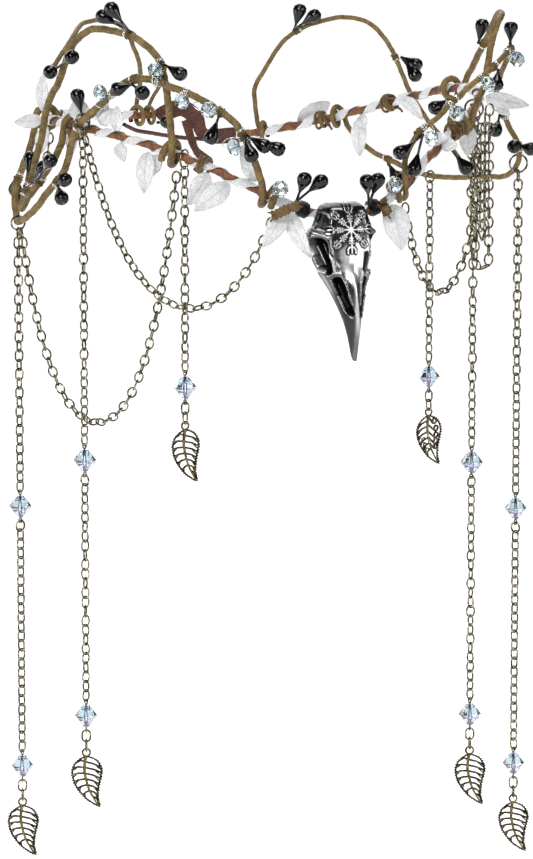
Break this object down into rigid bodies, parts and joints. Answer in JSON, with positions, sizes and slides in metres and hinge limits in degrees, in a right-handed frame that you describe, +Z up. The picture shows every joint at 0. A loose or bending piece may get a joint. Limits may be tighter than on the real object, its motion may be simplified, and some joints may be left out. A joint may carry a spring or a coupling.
{
  "type": "elf crown",
  "caption": "Elf crown of a ribbon-wound hoop with arched vines, leaves, berries, a raven skull at the brow, chain swags and long bead and leaf drops.",
  "frame": {"origin": "centre of the head opening, level with the middle of the hoop", "axes": "+Z up along the hanging chains, -Y towards the raven skull at the brow, +X towards the left side of the wearer's head"},
  "size_m": [0.2077, 0.2098, 0.348],
  "materials": {
    "hoop_cord": "reddish brown wound cord",
    "glitter_ribbon": "silver white glitter mesh",
    "vine_paper": "olive brown paper wrapping",
    "berry": "glossy black",
    "clear_glass": "clear with a rainbow coat",
    "gunmetal": "polished gunmetal with dark recesses",
    "thread": "black thread",
    "twig": "cut twig",
    "brown_ribbon": "ribbed brown ribbon",
    "chain_brass": "antique pewter brass",
    "bead_glass": "pale blue rainbow crystal",
    "charm_brass": "antique bronze"
  },
  "bodies": {
    "root": {"hoop": "hoop_cord", "leaf_ribbon": "glitter_ribbon", "leaves_left": "glitter_ribbon", "leaves_front": "glitter_ribbon", "leaves_right": "glitter_ribbon", "leaves_back": "glitter_ribbon", "vine_left_long": "vine_paper", "vine_left_tall": "vine_paper", "vine_left_rear": "vine_paper", "vine_left_twig": "vine_paper", "vine_back_arch": "vine_paper", "vine_right_long": "vine_paper", "vine_right_tall": "vine_paper", "bindings": "vine_paper", "berries_left": "berry", "berries_left_low": "berry", "berries_front": "berry", "berries_right": "berry", "berries_back": "berry", "glass_left": "clear_glass", "glass_right": "clear_glass", "skull": "gunmetal", "temple_lashings": "thread", "cut_stubs": "twig", "tie_ribbon": "brown_ribbon", "tie_lace": "brown_ribbon", "chain_left_outer": "chain_brass", "chain_left_outer_low": "chain_brass", "chain_right_outer": "chain_brass", "chain_right_outer_low": "chain_brass", "chain_left_inner": "chain_brass", "chain_left_inner_low": "chain_brass", "chain_right_inner": "chain_brass", "chain_right_inner_low": "chain_brass", "chain_left_mid": "chain_brass", "chain_right_mid": "chain_brass", "chain_swag_left": "chain_brass", "chain_swag_front": "chain_brass", "chain_swag_right": "chain_brass", "chain_loop_right": "chain_brass", "chain_left_short": "chain_brass", "charm_links": "chain_brass", "rings": "chain_brass", "pins": "chain_brass", "bicones": "bead_glass", "charm_left_outer": "charm_brass", "charm_left_inner": "charm_brass", "charm_left_mid": "charm_brass", "charm_right_outer": "charm_brass", "charm_right_inner": "charm_brass", "charm_right_mid": "charm_brass"}
  },
  "joints": []
}
